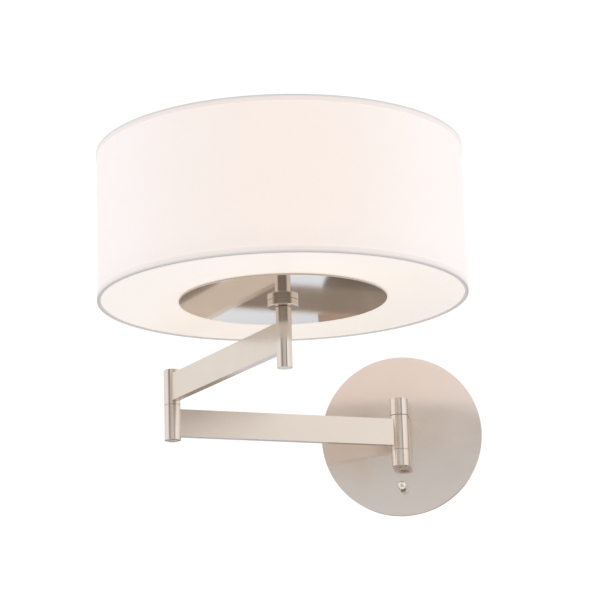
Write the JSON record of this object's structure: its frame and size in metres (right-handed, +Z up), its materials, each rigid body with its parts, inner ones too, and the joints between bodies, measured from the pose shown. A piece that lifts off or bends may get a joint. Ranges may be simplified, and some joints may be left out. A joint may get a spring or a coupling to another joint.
{
  "type": "swing-arm wall lamp",
  "caption": "Wall-mounted swing-arm lamp: round wall plate with ball toggle switch, hinged flat arms, and a drum shade closed below by an opal diffuser and a mirror disc",
  "frame": {"origin": "centre of the mounting strap's back face, in the plane of the wall behind the middle of the round plate", "axes": "+Z up, +Y into the wall, so that the lamp stands out toward -Y, and +X to the right as seen from the room"},
  "size_m": [0.3048, 0.4934, 0.2658],
  "materials": {
    "polished_nickel": "polished nickel with a faint satin haze",
    "mirror_nickel": "mirror-polished nickel",
    "steel": "plain steel",
    "zinc_steel": "zinc-plated steel",
    "brass": "plain brass",
    "earth_green": "green lacquer",
    "bronze": "oiled sintered bronze",
    "linen": "off-white cloth over a stiff clear liner",
    "trim": "folded cloth tape",
    "opal_acrylic": "opal, satin",
    "frosted_glass": "frosted",
    "phenolic": "moulded, matt",
    "black_plastic": "moulded, matt",
    "white_insulation": "smooth PVC"
  },
  "bodies": {
    "wall_side": {"wall_plate": "polished_nickel", "mounting_strap": "zinc_steel", "box_screw_left": "zinc_steel", "box_screw_right": "zinc_steel", "earth_screw": "earth_green", "plate_grub_left": "steel", "plate_grub_right": "steel", "bracket_screw_upper": "zinc_steel", "bracket_screw_lower": "zinc_steel", "wall_bracket": "polished_nickel", "wall_pin_upper": "polished_nickel", "wall_pin_lower": "polished_nickel", "switch_body": "black_plastic", "switch_bushing": "polished_nickel", "switch_nut": "polished_nickel", "supply_lead": "white_insulation"},
    "lower_arm": {"lower_arm_bar": "polished_nickel", "lower_wall_barrel": "polished_nickel", "lower_elbow_barrel": "polished_nickel", "wall_bush_upper": "bronze", "wall_bush_lower": "bronze", "wall_stop_screw": "steel", "elbow_pin": "polished_nickel", "lower_arm_lead": "white_insulation"},
    "upper_arm": {"upper_arm_bar": "polished_nickel", "upper_elbow_barrel": "polished_nickel", "elbow_bush_lower": "bronze", "elbow_bush_upper": "bronze", "elbow_stop_screw": "steel", "elbow_top_cap": "polished_nickel", "stem_barrel": "polished_nickel", "stem_plug": "polished_nickel", "upper_arm_lead": "white_insulation", "stem_tube": "zinc_steel", "stem_collar": "polished_nickel", "mirror_disc": "mirror_nickel", "diffuser": "opal_acrylic", "clamp_nut": "zinc_steel", "cluster_nut": "zinc_steel", "spider_nut": "zinc_steel", "finial": "polished_nickel", "lampholder_bracket": "zinc_steel", "lampholder_a": "phenolic", "lampholder_b": "phenolic", "bulb_base_a": "brass", "bulb_base_b": "brass", "bulb_glass_a": "frosted_glass", "bulb_glass_b": "frosted_glass", "shade_drum": "linen", "hem_bottom": "trim", "hem_top": "trim", "shade_bottom_ring": "zinc_steel", "shade_spider": "zinc_steel"},
    "switch_lever": {"switch_lever": "polished_nickel"}
  },
  "joints": [
    {"name": "wall_swing", "type": "hinge", "parent": "wall_side", "child": "lower_arm", "pos_m": [0, -0.0217, 0], "axis": [0, 0, 1], "range_deg": [-29.06, 150.94]},
    {"name": "elbow_swing", "type": "hinge", "parent": "lower_arm", "child": "upper_arm", "pos_m": [-0.19667, -0.13099, 0.016], "axis": [0, 0, 1], "range_deg": [-221.05, 28.95]},
    {"name": "switch_toggle", "type": "hinge", "parent": "wall_side", "child": "switch_lever", "pos_m": [0, -0.0069, -0.052], "axis": [1, 0, 0], "range_deg": [0, 25]}
  ]
}
